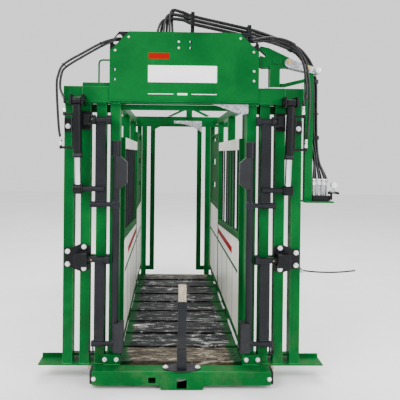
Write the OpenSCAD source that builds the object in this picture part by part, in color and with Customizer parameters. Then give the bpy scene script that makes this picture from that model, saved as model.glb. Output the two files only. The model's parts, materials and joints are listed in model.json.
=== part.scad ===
// Hydraulic cattle squeeze chute.
// +Y runs from the head end to the tail end, +Z is up, and the origin is on the ground at mid length.
// Each left-hand part is drawn at negative X, and its right-hand twin is its mirror image.

/* [Chute] */
// Distance between the front and rear frames
chute_l = 2450; // [2300:10:2600]
// Clear width between the inner front posts
inside_w = 840; // [800:10:880]
// Overall width of the front frame
frame_w = 1578; // [1560:2:1600]
// Height of the top of the front header beam
header_top = 1945; // [1940:5:1960]
// Height of the walking surface of the floor
floor_z = 110; // [110:1:120]

/* [Steel] */
// Side of the square frame tubes
post_s = 65; // [60:1:66]
// Wall of the frame tubes
tube_wall = 5; // [3:0.5:6]
// Thickness of the bolted plates
plate_t = 12; // [8:1:14]

/* [Front frame] */
// Centre of the second post from the outside
post_b_x = 645; // [640:1:648]
// Centre of the third post from the outside
post_c_x = 543; // [541:1:546]
// Height of the header beam
header_h = 106; // [100:1:110]
// Half width reached by the foot plates
foot_reach = 948; // [900:2:960]
// Depth of the foot plates
foot_d = 176; // [160:2:180]

/* [Base] */
// Length of the front base beam
beam_l = 1144; // [1130:2:1160]
// Depth of the front base beam
beam_d = 98; // [90:1:100]
// Height of the front base beam
beam_h = 89; // [86:1:90]
// Ground clearance under the front base beam
beam_clear = 29; // [26:1:30]
// Square inside of the hitch receiver
receiver_in = 63.5; // [51:0.5:64]
// Number of floor treads
treads = 9; // [7:1:10]

/* [Sign] */
// Width of the sign panel
sign_w = 980; // [940:10:990]
// Height of the top of the sign panel
sign_top = 2305; // [2290:5:2310]
// Height of the sign panel
sign_h = 459; // [455:1:462]
// Spacing across of the four centre holes
sign_hole_x = 78; // [60:1:90]
// Spacing up of the four centre holes
sign_hole_z = 40; // [30:1:50]

/* [Neck extender] */
// Length of the arms between pivots
arm_l = 550; // [540:1:560]
// Height of the upper pivot
upper_pivot_z = 1724; // [1720:1:1728]
// Height of the lower pivot
lower_pivot_z = 815; // [812:1:820]
// Distance from the upper pivot to the crank pin
crank_l = 449; // [445:1:453]
// Height of the pin at the top of the cylinder
cyl_pin_z = 1840; // [1836:1:1842]
// Radius of the cylinder barrel
barrel_r = 28; // [26:1:30]
// Radius of the cylinder rod
rod_r = 21; // [18:1:22]
// Radius of the vertical neck bars
neck_bar_r = 23; // [20:1:24]

/* [Gates and sides] */
// Half of the tail opening between the parked leaves
tail_open = 252; // [240:2:260]
// Number of window bars in each squeeze panel
window_bars = 7; // [6:1:12]
// Height of the top edge of the squeeze panels
panel_top = 1620; // [1600:5:1660]

/* [Control boom] */
// Distance from the pin of the boom to the centre of its hanging tube
boom_reach = 234; // [232:1:240]
// Lowest point of the hanging tube
boom_low = 1203; // [1190:1:1220]
// Outer diameter of the supply hoses
hose_d = 17; // [14:1:18]

/* [Hidden] */
$fn = 40;
fit = 0.05;
green = [0.06, 0.50, 0.20];
graphite = [0.22, 0.24, 0.27];
black = [0.13, 0.14, 0.16];
zinc = [0.70, 0.72, 0.74];
cream = [0.88, 0.87, 0.80];
rubber = [0.10, 0.10, 0.11];

front_y = -chute_l / 2;
rear_y = chute_l / 2;
post_h = post_s / 2;
post_face = front_y - post_h;
post_a_x = frame_w / 2 - post_h;
post_d_x = inside_w / 2 + post_h;
header_low = header_top - header_h;
header_front = front_y - 65;
header_back = front_y + 35;
sign_back = header_front - 2;
sign_t = 6;
sign_low = sign_top - sign_h;
sign_half = sign_w / 2;
sign_drop = 83;
corner_t = 8;
cap_h = 28;
sign_cut = 128;
slot = [440, 2253];
slot_l = 72;
slot_w = 34;
slot_tilt = 39;
foot_t = 10;
beam_back = header_front - 2;
beam_front = beam_back - beam_d;
beam_top = beam_clear + beam_h;
rail_h = 70;
rail_x = 330;
tread_pitch = 2344 / treads;
tread_gap = 16;
tread_half = inside_w / 2 - 5;
floor_front = post_face + 6;

// Neck extender
link_y = post_face - 52;
cyl_x = 685;
cyl_pin_y = link_y - 60;
crank_z = upper_pivot_z - crank_l;
cyl_len = sqrt(pow(cyl_pin_y - link_y, 2) + pow(cyl_pin_z - crank_z, 2));
cyl_tilt = atan2(link_y - cyl_pin_y, cyl_pin_z - crank_z);
barrel_start = 28;
barrel_end = 355;
port_s = [86, 300];
port_x = [767, 793];
shaft_r = 20;
collar_r = 31;
cyl_pin_r = 12;
crank_r = 18;
pin_r = 16;
eye_gap = 8;
neck_x = 438;
neck_eye_r = 25;
upper_end_z = upper_pivot_z - arm_l;
lower_end_z = lower_pivot_z - arm_l;

// Gates and sides
head_leaf_y = [front_y + 40, front_y + 90];
leaf_out = 772;
leaf_top = 1830;
tail_leaf_y = [rear_y + 36, rear_y + 80];
rear_post_in = 346;
rear_post_out = 404;
rear_top = 1949;
rear_low = 1833;
side_in = 450;
side_out = 510;
squeeze_in = 400;
squeeze_out = 436;
squeeze_y = [front_y + 130, rear_y - 130];
squeeze_axis_x = 430;
squeeze_axis_z = 160;
window_y = [squeeze_y[0] + 40, squeeze_y[0] + 1330];
window_high = 1541;
sill_near = 955;
sill_far = 868;
sill_h = 48;
far_low = 960;
far_top = 1720;
mid_rail = [660, 680];
bar_r = 7;
slot_y = [620, 970];

// Control boom
boom_x = 601;
boom_y = front_y - 15;
boom_pin_r = 22;
drop_x = boom_x + boom_reach;
drop_h = 25;
valve_x = [865, 968];
valve_port_x = 874;
valve_pitch = 17.5;
valve_y = [boom_y - 35, boom_y + 35];
valve_top = boom_low + 37;
fitting_top = valve_top + 72;
lever_x = 985;
lever_z = valve_top + 16;
lever_pitch = 24;
lever_pin_r = 4;
gauge_c = [1004, boom_y - 20, 1311];
release_c = [803, front_y, 731];
release_r = 1275;
release_span = 16.6;

// Hose routes in millimetres, from the manifold to the valve
hose_rows = [-19, 0, 19];
row_open = 1.35;
hose_cols = [-10, 10];
manifold_x = -180;
manifold_y = front_y - 10;
manifold_top = 2012;
hose_step = 21;
bundle_clamps = [[53, 2402], [430, 2321]];
clamp_way = [190, 42, -37];
boom_way = [176, 24, -74];
pair_d = 16;
up = [0, 0, 1];
cylinder_way = [0, sin(cyl_tilt), -cos(cyl_tilt)];

// ---- helpers ----

// Block between two opposite corners
module block(lo, hi) {
    translate(lo) cube(hi - lo);
}

// Rectangular tube between two corners, hollow along axis 0, 1 or 2
module tube(lo, hi, axis, wall = tube_wall) {
    inset = [for (i = [0:2]) i == axis ? -1 : wall];
    difference() {
        block(lo, hi);
        block(lo + inset, hi - inset);
    }
}

// Round bar along X
module rod_x(x0, x1, y, z, r) {
    translate([min(x0, x1), y, z]) rotate([0, 90, 0]) cylinder(h = abs(x1 - x0), r = r);
}

// Round bar along Y
module rod_y(x, y0, y1, z, r) {
    translate([x, y1, z]) rotate([90, 0, 0]) cylinder(h = y1 - y0, r = r);
}

// Plate drawn in X and Z, with its front face at y0
module plate_xz(y0, t) {
    translate([0, y0 + t, 0]) rotate([90, 0, 0]) linear_extrude(t) children();
}

// A left-hand part as drawn, or mirrored to the right
module hand(right) {
    if (right) mirror([1, 0, 0]) children();
    else children();
}

// A left-hand part and its mirror image
module both() {
    children();
    mirror([1, 0, 0]) children();
}

// Hexagon-headed bolt seen from the front, with its washer
module bolt_front(x, y, z, r = 11) {
    rod_y(x, y - 3, y, z, r * 1.5);
    translate([x, y - 3, z]) rotate([90, 0, 0]) cylinder(h = r, r = r * 1.1, $fn = 6);
}

// Catmull-Rom curve through the points, with a few steps in each stretch
function spline_point(a, b, c, d, t) =
    0.5 * (2 * b + (c - a) * t + (2 * a - 5 * b + 4 * c - d) * t * t
    + (3 * b - a - 3 * c + d) * t * t * t);
function spline(p, steps) = concat(
    [for (i = [0:len(p) - 2]) for (k = [0:steps - 1])
        spline_point(p[max(i - 1, 0)], p[i], p[i + 1], p[min(i + 2, len(p) - 1)], k / steps)],
    [p[len(p) - 1]]);

// Eight-sided tube swept along points, with its two end faces square to given directions
module hose(points, d, steps, start, end) {
    path = spline(points, steps);
    n = len(path);
    sides = 8;
    rings = [for (i = [0:n - 1])
        let (t = i == 0 ? start : i == n - 1 ? end : path[i + 1] - path[i - 1])
        let (u = cross(t, [0, 1, 0.05]) / norm(cross(t, [0, 1, 0.05])))
        let (v = cross(u, t) / norm(cross(u, t)))
        for (k = [0:sides - 1]) path[i] + d / 2 * (u * cos(k * 45) + v * sin(k * 45))];
    walls = [for (i = [0:n - 2]) for (k = [0:sides - 1])
        let (m = (k + 1) % sides)
        [i * sides + k, i * sides + m, (i + 1) * sides + m, (i + 1) * sides + k]];
    caps = [[for (k = [sides - 1:-1:0]) k], [for (k = [0:sides - 1]) (n - 1) * sides + k]];
    polyhedron(rings, concat(walls, caps), convexity = 10);
}

// ---- base ----

module base_rails() {
    color(green) both() {
        tube([-rail_x - 30, beam_back + 2, 0], [-rail_x + 30, rear_y - post_h, rail_h], 1);
    }
}

module base_cross_members() {
    color(green) {
        for (k = [-2:2])
            tube([-rail_x + 30, k * 520 - 30, 0], [rail_x - 30, k * 520 + 30, rail_h - 2], 0);
    }
}

module front_base_beam() {
    pocket_z = beam_clear + 32;
    color(green) difference() {
        tube([-beam_l / 2, beam_front, beam_clear], [beam_l / 2, beam_back, beam_top], 0);
        block([-214, beam_front - 1, pocket_z - 19], [-166, beam_front + 20, pocket_z + 19]);
        block([-receiver_in / 2 - 7, beam_front - 1, beam_clear - 1],
            [receiver_in / 2 + 7, beam_back + 1, 82]);
    }
}

module beam_end_caps() {
    cut = 14;
    color(black) both() translate([-beam_l / 2 - 16, 0, 0]) rotate([90, 0, 90])
        linear_extrude(16) polygon([
            [beam_front, beam_clear + cut], [beam_front + cut, beam_clear],
            [beam_back, beam_clear], [beam_back, beam_top],
            [beam_front + cut, beam_top], [beam_front, beam_top - cut]]);
}

module hitch_receiver() {
    out = receiver_in / 2 + 6;
    low = 5;
    color(green) {
        tube([-out, beam_front - 6, low], [out, beam_back, low + 2 * out], 1, 6);
        difference() {
            block([-136, beam_front - 5, 4], [136, beam_front - 1, 108]);
            block([-out, beam_front - 10, low], [out, beam_back, low + 2 * out]);
        }
    }
}

module floor_treads() {
    lip = 8;
    color(graphite) for (k = [0:treads - 1]) translate([0, floor_front + k * tread_pitch, 0]) {
        block([-tread_half, tread_gap, rail_h], [tread_half, tread_pitch, floor_z]);
        block([-tread_half, tread_gap, floor_z - 1], [tread_half, tread_gap + 24, floor_z + lip]);
    }
}

module foot_plates() {
    hole = [855, front_y + 110];
    hole_r = 11;
    lug_x = [402, 515];
    rib_y = post_face + 112;
    color(green) both() {
        difference() {
            block([-foot_reach, post_face - 4, floor_z - foot_t],
                [-inside_w / 2, post_face - 4 + foot_d, floor_z]);
            translate([-hole[0], hole[1], 0]) cylinder(h = 2 * floor_z, r = hole_r);
        }
        block([-foot_reach, rib_y, floor_z - 1], [-frame_w / 2 - 1, rib_y + 6, floor_z + 24]);
        block([-lug_x[1], beam_back + 1, beam_top - 15], [-lug_x[0], beam_back + 13, beam_top + 66]);
        block([-lug_x[1], beam_back + 1, floor_z - foot_t],
            [-inside_w / 2, post_face + 20, floor_z - 1]);
    }
}

// ---- frames ----

module front_posts(right) {
    color(green) hand(right) {
        for (x = [post_a_x, post_b_x, post_c_x, post_d_x])
            translate([-x, front_y, 0])
                tube([-post_h, -post_h, floor_z], [post_h, post_h, header_low], 2);
    }
}
module front_posts_left() { front_posts(false); }
module front_posts_right() { front_posts(true); }

module header_beam() {
    cap_x = [-670, -480];
    cap_y = [header_front + 20, header_back - 20];
    color(green) {
        tube([-frame_w / 2, header_front, header_low], [frame_w / 2, header_back, header_top], 0);
        tube([cap_x[0], cap_y[0], header_top], [cap_x[1], cap_y[1], header_top + cap_h], 0, 4);
    }
}

// Part of the arch plate over the tail opening, between two places across
module arch_plate(x, y) {
    arch_r = 485;
    plate_xz(y, 6) difference() {
        translate([x[0], 1745]) square([x[1] - x[0], 155]);
        translate([0, 1868 - arch_r]) circle(r = arch_r, $fn = 96);
    }
}

module rear_frame() {
    y0 = rear_y - post_h;
    y1 = rear_y + post_h;
    color(green) {
        both() tube([-rear_post_out, y0, floor_z - 40], [-rear_post_in, y1, rear_low], 2);
        both() tube([-700, y0, 0], [-650, y1, rear_low], 2);
        tube([-700, y0, rear_low], [700, y1, rear_top], 0);
        tube([-700, y0, 0], [700, y1, rail_h - 1], 0);
        // latch bracket and its two stays above the rear header
        block([114, y0 - 14, rear_top - 20], [184, y0 - 1, 2044]);
        plate_xz(y0 - 12, 8) polygon([[-110, 1950], [-60, 1950], [124, 2034], [118, 2060]]);
        plate_xz(y0 - 12, 8) polygon([[174, 2034], [180, 2060], [392, 1962], [350, 1950]]);
        arch_plate([-300, -31], y0 - 8);
    }
}

module side_frames() {
    y0 = header_back + 1;
    y1 = rear_y - post_h - 1;
    color(green) both() {
        tube([-side_out, y0, 1850], [-side_in, y1, 1910], 1);
        tube([-side_out, y0 + 76, floor_z + 1], [-side_in, y1, floor_z + 61], 1);
        for (y = [-900, -60, 780])
            tube([-side_out, y - 30, floor_z + 62], [-side_in, y + 30, 1849], 2);
        // brackets that carry the lower side rails from the base rails
        for (y = [-960, -120, 720]) {
            block([-side_out + 10, y, 20], [-rail_x - 31, y + 120, rail_h - 1]);
            block([-side_out + 10, y, 20], [-side_in - 1, y + 120, floor_z + 1]);
        }
    }
}

module sign_outline() {
    x = sign_half - sign_cut;
    z = sign_top - sign_cut;
    polygon([
        [-sign_half, sign_low], [sign_half, sign_low], [sign_half, z],
        [x, sign_top], [-x, sign_top], [-sign_half, z]]);
}

module sign_panel() {
    hole_r = 8;
    color(green) difference() {
        union() {
            plate_xz(sign_back - sign_t, sign_t) sign_outline();
            block([-sign_half, sign_back - 18, sign_low], [sign_half, sign_back, sign_low + 5]);
        }
        for (s = [-1, 1]) {
            for (p = [[367, 36], [455, 124], [458, 250], [458, 314]])
                rod_y(s * p[0], sign_back - 30, sign_back + 10, sign_top - p[1], hole_r);
            for (z = [-1, 1])
                rod_y(s * sign_hole_x / 2, sign_back - 30, sign_back + 10,
                    sign_top - sign_drop + z * sign_hole_z / 2, hole_r);
        }
    }
}

module hose_brackets() {
    color(black) {
        for (s = [-1, 1])
            plate_xz(sign_back, corner_t) difference() {
                polygon([
                    [s * sign_half, sign_top - sign_cut - 17], [s * sign_half, sign_top - 74],
                    [s * (sign_half - 60), sign_top], [s * (sign_half - sign_cut - 17), sign_top]]);
                translate([s * slot[0], slot[1]]) rotate(s * slot_tilt) {
                    square([slot_w, slot_l - slot_w], center = true);
                    for (e = [-1, 1])
                        translate([0, e * (slot_l - slot_w) / 2]) circle(d = slot_w);
                }
            }
        // two clamps around the bundle, each on its own stay from the header
        for (c = bundle_clamps) {
            difference() {
                block([c[0] - 12, manifold_y - 34, c[1] - 46], [c[0] + 12, manifold_y + 34, c[1] + 46]);
                block([c[0] - 13, manifold_y - 28, c[1] - 40], [c[0] + 13, manifold_y + 28, c[1] + 40]);
            }
            block([c[0] - 12, manifold_y - 10, header_top], [c[0] + 12, manifold_y + 10, c[1] - 46]);
        }
    }
}

module galvanised_plates() {
    color(zinc) {
        plate_xz(header_front - 1 + 8, 6)
            polygon([[185, header_low - 1], [425, header_low - 1], [425, 1780], [385, 1768]]);
        arch_plate([-30, 300], rear_y - post_h - 8);
    }
}

module bearing_brackets() {
    low_half = 42;
    top_half = 34;
    stay_z = [1650, 1735];
    color(black) both() {
        // lower bearing on the two outer posts
        difference() {
            union() {
                plate_xz(post_face - plate_t, plate_t) polygon([
                    [-778, 880], [-740, 880], [-668, 909], [-607, 896], [-607, 738],
                    [-668, 724], [-740, 752], [-778, 752]]);
                block([-700, link_y - 40, lower_pivot_z - low_half],
                    [-620, post_face - 1, lower_pivot_z + low_half]);
            }
            rod_x(-710, -610, link_y, lower_pivot_z, shaft_r + fit);
        }
        // upper bearing on the second post
        difference() {
            union() {
                block([-676, post_face - plate_t, upper_pivot_z - 60],
                    [-612, post_face, upper_pivot_z + 60]);
                block([-648, link_y - top_half, upper_pivot_z - top_half],
                    [-612, post_face - 1, upper_pivot_z + top_half]);
            }
            rod_x(-660, -600, link_y, upper_pivot_z, shaft_r + fit);
        }
        // small plate of the upper cylinder stay on the outer post
        block([-787, post_face - plate_t, stay_z[0]], [-727, post_face, stay_z[1]]);
    }
}

module cylinder_brackets() {
    ear = 11;
    eye_half = 32;
    color(black) both() {
        for (x = [-cyl_x - eye_half - ear, -cyl_x + eye_half])
            block([x, cyl_pin_y - 30, cyl_pin_z - 26], [x + ear, header_front, cyl_pin_z + 40]);
        rod_x(-cyl_x - 51, -cyl_x + 51, cyl_pin_y, cyl_pin_z, cyl_pin_r);
    }
}

module frame_bolts() {
    color(zinc) for (x = [9, 125, 242])
        bolt_front(x, rear_y - post_h - 8, 1882, 9);
    color(zinc) both() {
        for (p = [[-757, 858], [-650, 888], [-757, 774], [-650, 746]])
            bolt_front(p[0], post_face - plate_t, p[1]);
        bolt_front(-762, post_face - plate_t, 1682);
        for (x = [-505, -428])
            bolt_front(x, beam_back + 1, beam_top + 34, 10);
        bolt_front(-562, beam_front, beam_clear + 42, 9);
    }
}

module center_post() {
    w = 26;
    flange_flat = 0.475;
    color(graphite) translate([0, (beam_front + beam_back) / 2, 0]) {
        difference() {
            union() {
                translate([0, 0, beam_top]) linear_extrude(8) scale([1, flange_flat]) circle(r = 122);
                block([-w - 5, -w - 5, beam_top + 7], [w + 5, w + 5, 250]);
                block([-w, -w, 249], [w, w, 512]);
                block([-w - 5, -w - 5, 511], [w + 5, w + 5, 555]);
            }
            block([-20, -20, 200], [20, 20, 600]);
        }
        for (x = [-104, 104])
            translate([x, 0, beam_top + 8]) cylinder(h = 9, r = 11, $fn = 6);
    }
}

module center_post_insert() {
    color(cream) translate([0, (beam_front + beam_back) / 2, 0]) {
        block([-19.5, -19.5, 230], [19.5, 19.5, 556]);
        block([-25, -25, 556], [25, 25, 657]);
    }
}

module gate_tracks() {
    y0 = head_leaf_y[0];
    y1 = head_leaf_y[1];
    reach = leaf_out + 3;
    guide_t = 4;
    track_t = 2;
    color(green) {
        // top guide of the head gate, hung from the header
        for (y = [y0 - 6, y1 + 2])
            block([-reach, y, leaf_top - 24], [reach, y + guide_t, header_low - 1]);
        both() block([-post_d_x - 20, y0 - 5, leaf_top + 2], [-post_d_x + 20, y1 + 5, header_low + 10]);
        // top guide of the tail gate
        for (y = [tail_leaf_y[0] - 3, tail_leaf_y[1] + 2])
            block([-700, y, 1850], [700, y + track_t, 1900]);
        block([-700, tail_leaf_y[0] - 3, 1899], [700, tail_leaf_y[1] + 4, 1905]);
    }
}

module hinge_pins() {
    color(zinc) {
        both() for (y = [squeeze_y[0] + 20, -60, squeeze_y[1] - 80]) {
            rod_y(-squeeze_axis_x, y - 24, y + 84, squeeze_axis_z, 12);
            for (e = [-24, 72])
                block([-side_in + 0.5, y + e, floor_z + 9],
                    [-squeeze_axis_x + 15, y + e + 12, squeeze_axis_z + 18]);
        }
        block([boom_x - 60, boom_y - 45, header_top], [boom_x + 60, boom_y + 45, header_top + 8]);
        translate([boom_x, boom_y, header_top + 7]) cylinder(h = 128, r = boom_pin_r);
        // ears of the release lever on the outer face of the right post
        for (y = [-20, 16])
            block([frame_w / 2 + 0.5, release_c[1] + y, release_c[2] - 12],
                [release_c[0] + 9, release_c[1] + y + 4, release_c[2] + 12]);
        rod_y(release_c[0], release_c[1] - 20, release_c[1] + 20, release_c[2], 4);
    }
}

module hose_guard_rod() {
    r = 6;
    bend = 24;
    x = -566;
    top = 2126;
    color(green) {
        translate([x, front_y - 15, header_top + cap_h])
            cylinder(h = top - bend - header_top - cap_h, r = r);
        translate([x + bend, front_y - 15, top - bend]) rotate([90, 0, 0]) rotate([0, 0, 90])
            rotate_extrude(angle = 90) translate([bend, 0]) circle(r = r);
        rod_x(x + bend, -sign_half + 20, front_y - 15, top, r);
        translate([-sign_half + 20, front_y - 15, header_top]) cylinder(h = top + r - header_top, r = r);
    }
}

module hydraulic_manifold() {
    color(zinc) {
        block([manifold_x - 110, manifold_y - 30, header_top], [manifold_x + 160, manifold_y + 30, 1990]);
        for (k = [0:5])
            translate([manifold_x + hose_step * k, manifold_y, 1989])
                cylinder(h = manifold_top - 1989, r = 9);
        for (x = [-90, -62, 132, 152])
            translate([manifold_x + x, manifold_y + 14, 1989])
                cylinder(h = manifold_top - 1989, r = 7);
    }
}

// ---- gates ----

module head_gate(right) {
    y0 = head_leaf_y[0];
    y1 = head_leaf_y[1];
    inner = post_d_x - post_h + 2;
    color(green) hand(right) {
        tube([-inner - 50, y0, floor_z + 23], [-inner, y1, leaf_top], 2, 4);
        tube([-leaf_out, y0, floor_z + 23], [-leaf_out + 40, y1, leaf_top], 2, 4);
        for (rail = [[floor_z + 23, 14], [772, 44], [leaf_top - 46, 44]])
            tube([-leaf_out + 39, y0 + 5, rail[0]], [-inner - 49, y1 - 5, rail[0] + rail[1]], 0, 4);
    }
}
module head_gate_left() { head_gate(false); }
module head_gate_right() { head_gate(true); }

module tail_gate(right) {
    y0 = tail_leaf_y[0];
    y1 = tail_leaf_y[1];
    color(green) hand(right) {
        tube([-tail_open - 54, y0, floor_z + 10], [-tail_open, y1, 1896], 2, 4);
        tube([-464, y0, floor_z + 10], [-414, y1, 1896], 2, 4);
        for (z = [floor_z + 10, 1840])
            tube([-640, y0 + 2, z], [-tail_open - 53, y1 - 2, z + 46], 0, 4);
    }
}
module tail_gate_left() { tail_gate(false); }
module tail_gate_right() { tail_gate(true); }

// ---- squeeze panels ----

// Height of the window's sloping sill at a place along the chute
function sill_top(y) =
    sill_near + (sill_far - sill_near) * (y - squeeze_y[0]) / (window_y[1] + 45 - squeeze_y[0]);

// Slab of a panel between two depths across, drawn in Y and Z
module panel_slab(x) {
    translate([-x[1], 0, 0]) rotate([90, 0, 90]) linear_extrude(x[1] - x[0]) children();
}

module squeeze_frame(right) {
    y0 = squeeze_y[0];
    y1 = squeeze_y[1];
    mid = window_y[1];
    far_slots = [1150, 1398, 1650];
    color(green) hand(right) {
        difference() {
            union() {
                block([-squeeze_out, y0, 190], [-squeeze_in, y1, 235]);
                block([-squeeze_out, y0, mid_rail[0]], [-squeeze_in, y1, mid_rail[1]]);
                block([-squeeze_out, y0, window_high], [-squeeze_in - 12, mid + 10, panel_top]);
                block([-squeeze_out, mid, far_low], [-squeeze_in, y1, far_low + 45]);
                block([-squeeze_out, mid, far_top - 45], [-squeeze_in, y1, far_top]);
                block([-squeeze_out + 12, mid + 10, far_low], [-squeeze_in - 6, y1 - 10, far_top - 1]);
                panel_slab([squeeze_in, squeeze_out]) polygon([
                    [y0, sill_near - sill_h], [mid + 45, sill_far - sill_h],
                    [mid + 45, sill_far], [y0, sill_near]]);
                block([-squeeze_out, y0, 190], [-squeeze_in, y0 + 45, panel_top]);
                for (y = [mid, y1 - 45])
                    block([-squeeze_out, y, 190], [-squeeze_in, y + 45, far_top]);
                for (y = [y0 + 20, -60, y1 - 80])
                    block([-squeeze_axis_x - 16, y - 10, squeeze_axis_z - 18],
                        [-squeeze_axis_x + 16, y + 70, 195]);
            }
            for (z = far_slots)
                block([-squeeze_out - 1, slot_y[0], z], [-squeeze_in + 1, slot_y[1], z + 60]);
            rod_y(-squeeze_axis_x, y0 - 10, y1 + 10, squeeze_axis_z, 12 + fit);
        }
    }
}
module squeeze_frame_left() { squeeze_frame(false); }
module squeeze_frame_right() { squeeze_frame(true); }

module squeeze_bars(right) {
    x = (squeeze_in + squeeze_out) / 2;
    pitch = (window_y[1] - window_y[0]) / (window_bars + 1);
    color(graphite) hand(right) {
        for (k = [1:window_bars])
            translate([-x, window_y[0] + k * pitch, sill_top(window_y[0] + k * pitch) + 1])
                cylinder(h = window_high - 1 - sill_top(window_y[0] + k * pitch), r = bar_r);
    }
}
module squeeze_bars_left() { squeeze_bars(false); }
module squeeze_bars_right() { squeeze_bars(true); }

module squeeze_boards(right) {
    y0 = squeeze_y[0] + 46;
    y1 = squeeze_y[1] - 46;
    mid = window_y[1];
    color(cream) hand(right) {
        block([-squeeze_in - 11.5, y0, window_high], [-squeeze_in, mid - 1, panel_top]);
        block([-squeeze_out + 4, mid + 46, mid_rail[1]], [-squeeze_in - 2, y1, far_low]);
        panel_slab([squeeze_in + 2, squeeze_out - 4]) polygon([
            [y0, mid_rail[1]], [mid - 1, mid_rail[1]],
            [mid - 1, sill_top(mid - 1) - sill_h - 1], [y0, sill_top(y0) - sill_h - 1]]);
        for (y = [[y0, mid - 1], [mid + 46, y1]])
            block([-squeeze_out + 4, y[0], 236], [-squeeze_in - 2, y[1], mid_rail[0]]);
    }
}
module squeeze_boards_left() { squeeze_boards(false); }
module squeeze_boards_right() { squeeze_boards(true); }

// ---- neck extender ----

module arm_tube(pivot_z) {
    translate([-post_c_x, link_y, pivot_z])
        block([-post_h, 2, -arm_l - 4], [post_h, 40, 14]);
}

module upper_arm(right) {
    color(graphite) hand(right) {
        arm_tube(upper_pivot_z);
        rod_x(-646, -475, link_y, upper_pivot_z, shaft_r);
        rod_x(-501, -475, link_y, upper_pivot_z, collar_r);
        rod_x(-594, -575, link_y, upper_pivot_z, collar_r);
        rod_x(-716, -516, link_y, crank_z, crank_r);
        for (x = [-30, 23])
            rod_x(-cyl_x + x, -cyl_x + x + 7, link_y, crank_z, collar_r + 1);
        rod_x(-607, -520, link_y, upper_end_z, shaft_r);
        rod_x(-520, -neck_x + 28, link_y, upper_end_z, pin_r);
    }
}
module upper_arm_left() { upper_arm(false); }
module upper_arm_right() { upper_arm(true); }

module lower_arm(right) {
    color(graphite) hand(right) {
        arm_tube(lower_pivot_z);
        rod_x(-710, -475, link_y, lower_pivot_z, shaft_r);
        rod_x(-505, -475, link_y, lower_pivot_z, collar_r);
        rod_x(-590, -520, link_y, lower_end_z, shaft_r);
        rod_x(-520, -neck_x + 28, link_y, lower_end_z, pin_r);
        // spring clevis beside the arm
        for (x = [-606, -582])
            block([x, link_y - 16, lower_end_z - 60], [x + 6, link_y + 16, lower_end_z + 18]);
        block([-606, link_y - 16, lower_end_z - 62], [-576, link_y + 16, lower_end_z - 54]);
    }
}
module lower_arm_left() { lower_arm(false); }
module lower_arm_right() { lower_arm(true); }

module neck_bar(right) {
    color(graphite) hand(right) difference() {
        union() {
            translate([-neck_x, link_y, 222]) cylinder(h = 1310, r = neck_bar_r);
            translate([-neck_x, link_y, 1490]) cylinder(h = 99, r = neck_bar_r + 6);
            for (z = [upper_end_z, lower_end_z])
                rod_x(-neck_x - 26, -neck_x + 26, link_y, z, neck_eye_r);
        }
        for (z = [upper_end_z, lower_end_z])
            rod_x(-neck_x - 40, -neck_x + 40, link_y, z, pin_r + fit);
    }
}
module neck_bar_left() { neck_bar(false); }
module neck_bar_right() { neck_bar(true); }

module neck_pads(right) {
    low = [216, 407];
    pad = [
        [-neck_x, 1488], [-408, 1488], [-366, 1450],
        [-366, 1316], [-408, 1278], [-neck_x, 1278]];
    color(rubber) hand(right) difference() {
        union() {
            plate_xz(link_y - 30, 60) polygon(pad);
            block([-441, link_y - 36, low[0]], [-381, link_y + 36, low[1]]);
        }
        translate([-neck_x, link_y, 0]) cylinder(h = 1600, r = neck_bar_r + 0.2);
        rod_x(-500, -300, link_y, lower_end_z, neck_eye_r + 0.3);
    }
}
module neck_pads_left() { neck_pads(false); }
module neck_pads_right() { neck_pads(true); }

// Moves a shape drawn down the -Z axis from the cylinder's top pin into place
module along_cylinder() {
    translate([-cyl_x, cyl_pin_y, cyl_pin_z]) rotate([cyl_tilt, 0, 0]) children();
}

module neck_cylinder(right) {
    boss_r = 25;
    gland_h = 30;
    port_r = 8;
    fitting_r = 9;
    fitting_h = 36;
    color(black) hand(right) along_cylinder() {
        difference() {
            union() {
                rod_x(-boss_r, boss_r, 0, 0, boss_r);
                translate([0, 0, -barrel_end]) cylinder(h = barrel_end - barrel_start + 8, r = barrel_r);
                translate([0, 0, -barrel_end - 8]) cylinder(h = gland_h, r = barrel_r + 3);
            }
            rod_x(-boss_r - 15, boss_r + 15, 0, 0, cyl_pin_r + fit);
            translate([0, 0, -barrel_end - 20]) cylinder(h = barrel_end - 40, r = rod_r + fit);
        }
        for (k = [0, 1]) {
            rod_x(-barrel_r + 1, cyl_x - port_x[k], 0, -port_s[k], port_r);
            translate([cyl_x - port_x[k], 0, -port_s[k] - fitting_r]) cylinder(h = fitting_h, r = fitting_r);
        }
    }
}
module neck_cylinder_left() { neck_cylinder(false); }
module neck_cylinder_right() { neck_cylinder(true); }

module cylinder_rod(right) {
    eye_r = crank_r + eye_gap;
    eye_wall = 9;
    neck = 30;
    hidden = 170;
    color(zinc) hand(right) along_cylinder() difference() {
        union() {
            translate([0, 0, -cyl_len + neck]) cylinder(h = cyl_len - neck - hidden, r = rod_r);
            rod_x(-21, 21, 0, -cyl_len, eye_r + eye_wall);
        }
        rod_x(-30, 30, 0, -cyl_len, eye_r);
    }
}
module cylinder_rod_left() { cylinder_rod(false); }
module cylinder_rod_right() { cylinder_rod(true); }

// ---- control boom ----

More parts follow.
